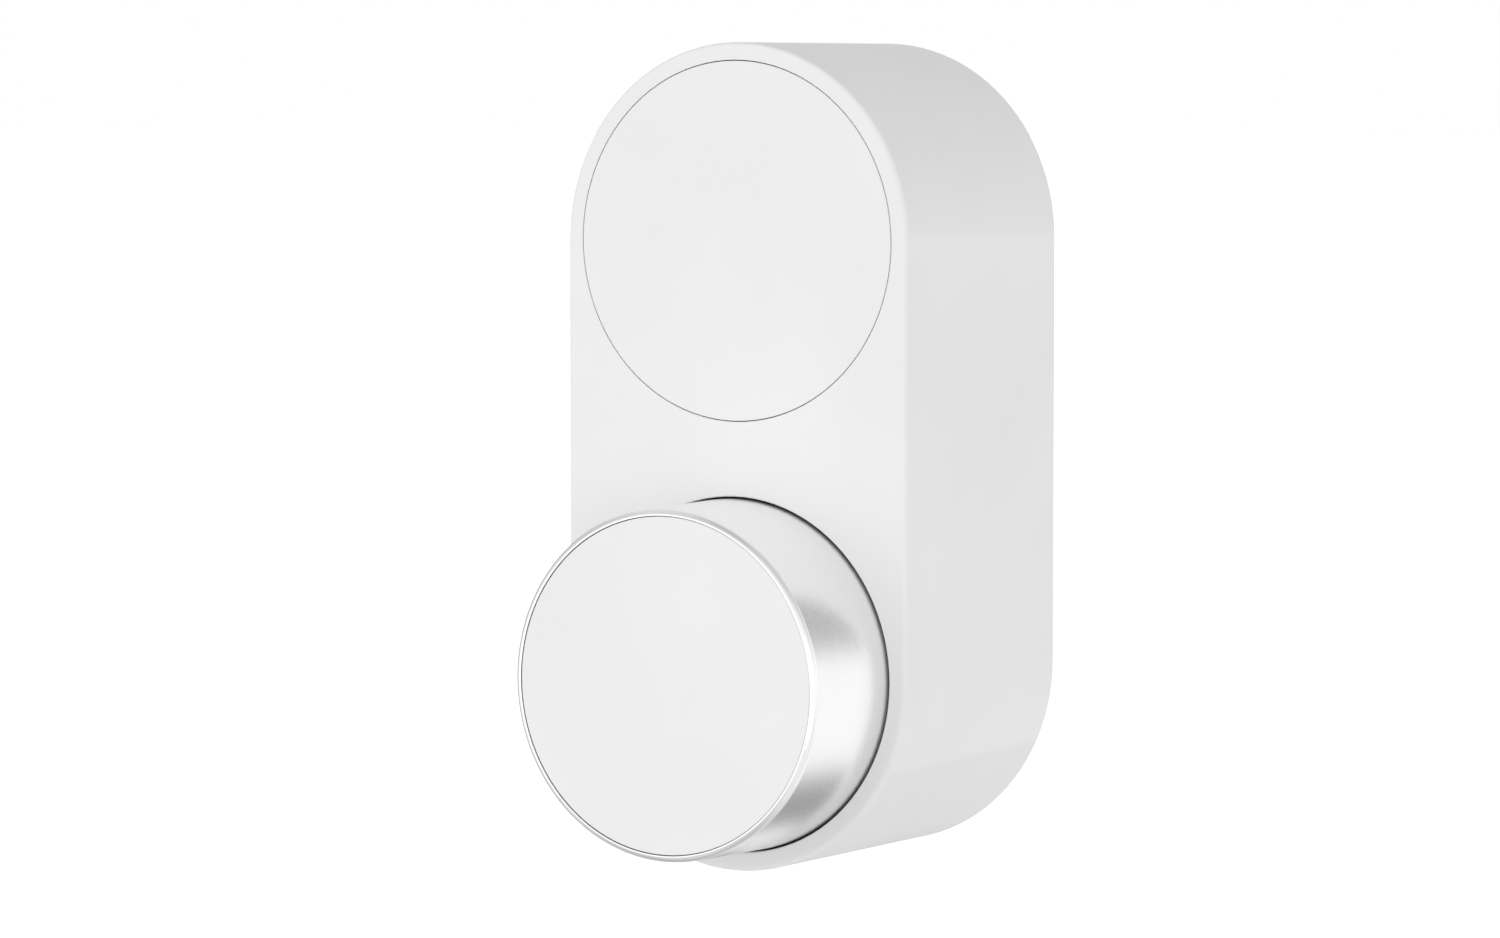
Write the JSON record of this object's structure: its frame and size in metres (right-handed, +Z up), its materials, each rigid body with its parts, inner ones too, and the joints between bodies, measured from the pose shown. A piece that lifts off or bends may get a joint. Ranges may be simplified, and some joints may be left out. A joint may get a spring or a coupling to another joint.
{
  "type": "smart door lock",
  "caption": "Pill-shaped motorised door lock that fits over a thumb-turn, with a large metal-edged knob below and a flush round battery cover above.",
  "frame": {"origin": "on the knob's axis, in the plane of the door, which is the back face of the adhesive pad", "axes": "+Z up the door, +X to the right seen from the room, +Y into the door; the knob and the battery cover face -Y"},
  "size_m": [0.059, 0.066, 0.1237],
  "materials": {
    "white_plastic": "fine matt",
    "grey_plastic": "matt",
    "black_plastic": "matt",
    "gear_plastic": "smooth, unfilled",
    "satin_aluminium": "satin side with a polished front lip",
    "steel": "plain",
    "nickel": "nickel plated",
    "bronze": "sintered",
    "board_green": "solder mask",
    "cell_sleeve": "printed sleeve, no text",
    "clear_plastic": "clear",
    "led_lens": "clear resin",
    "foam": "foam tape",
    "ferrite": "bonded ferrite",
    "capacitor_can": "sleeved",
    "wire": "insulated"
  },
  "bodies": {
    "housing_body": {"front_housing": "white_plastic", "rear_cover": "grey_plastic", "rear_cover_screws": "steel", "door_plate": "steel", "adhesive_pad": "foam", "locking_screw": "steel", "battery_tray": "black_plastic", "tray_magnets": "nickel", "battery_left": "cell_sleeve", "battery_right": "cell_sleeve", "positive_contact": "nickel", "negative_contact": "nickel", "bridge_contact": "nickel", "setup_switch": "steel", "status_led": "led_lens", "light_pipe": "clear_plastic", "circuit_board": "board_green", "wireless_module": "steel", "sounder": "black_plastic", "capacitors": "capacitor_can", "driver_chip": "black_plastic", "motor_connector": "gear_plastic", "sensor_connector": "gear_plastic", "board_screws": "steel", "gearbox_base": "black_plastic", "gearbox_cover": "black_plastic", "gearbox_screws": "steel", "gear_axles": "steel", "rear_bushing": "bronze", "front_bushing": "bronze", "drive_motor": "steel", "motor_end_cap": "black_plastic", "motor_screws": "steel", "motor_leads": "wire", "position_sensor": "board_green", "sensor_lead": "wire", "thrust_washer": "gear_plastic"},
    "knob": {"output_gear": "gear_plastic", "output_shaft": "steel", "shaft_clip": "steel", "encoder_magnet": "ferrite", "knob_ring": "satin_aluminium", "knob_face": "white_plastic", "knob_core": "grey_plastic", "knob_core_screws": "steel", "knob_centre_screw": "steel", "drive_coupler": "satin_aluminium", "coupler_screw": "steel", "thumb_turn_adapter": "white_plastic", "adapter_screws": "steel"},
    "third_gear": {"third_gear": "gear_plastic"},
    "second_gear": {"second_gear": "gear_plastic"},
    "first_gear": {"first_gear": "gear_plastic"},
    "motor_rotor": {"motor_shaft": "steel", "motor_pinion": "bronze"},
    "battery_cover": {"battery_cover": "white_plastic", "cover_magnets": "nickel"},
    "setup_button": {"setup_button": "white_plastic", "switch_stem": "black_plastic"}
  },
  "joints": [
    {"name": "knob_turn", "type": "hinge", "parent": "housing_body", "child": "knob", "pos_m": [0, -0.046, 0], "axis": [0, 1, 0], "continuous": true},
    {"name": "third_gear_spin", "type": "hinge", "parent": "housing_body", "child": "third_gear", "pos_m": [-0.01422, -0.033, 0.02031], "axis": [0, 1, 0], "continuous": true},
    {"name": "second_gear_spin", "type": "hinge", "parent": "housing_body", "child": "second_gear", "pos_m": [-0.00191, -0.033, 0.02249], "axis": [0, 1, 0], "continuous": true},
    {"name": "first_gear_spin", "type": "hinge", "parent": "housing_body", "child": "first_gear", "pos_m": [0.01016, -0.033, 0.02572], "axis": [0, 1, 0], "continuous": true},
    {"name": "motor_spin", "type": "hinge", "parent": "housing_body", "child": "motor_rotor", "pos_m": [0.01721, -0.033, 0.03163], "axis": [0, 1, 0], "continuous": true},
    {"name": "battery_cover_lift", "type": "slide", "parent": "housing_body", "child": "battery_cover", "axis": [0, -1, 0], "range_m": [0, 0.03]},
    {"name": "setup_button_press", "type": "slide", "parent": "housing_body", "child": "setup_button", "axis": [0, 1, 0], "range_m": [0, 0.0004], "stiffness_N_per_m": 600}
  ],
  "couplings": [
    {"joint": "third_gear_spin", "follows": "knob_turn", "ratio": -4.1667},
    {"joint": "second_gear_spin", "follows": "knob_turn", "ratio": 16.667},
    {"joint": "first_gear_spin", "follows": "knob_turn", "ratio": -66.667},
    {"joint": "motor_spin", "follows": "knob_turn", "ratio": 240}
  ]
}
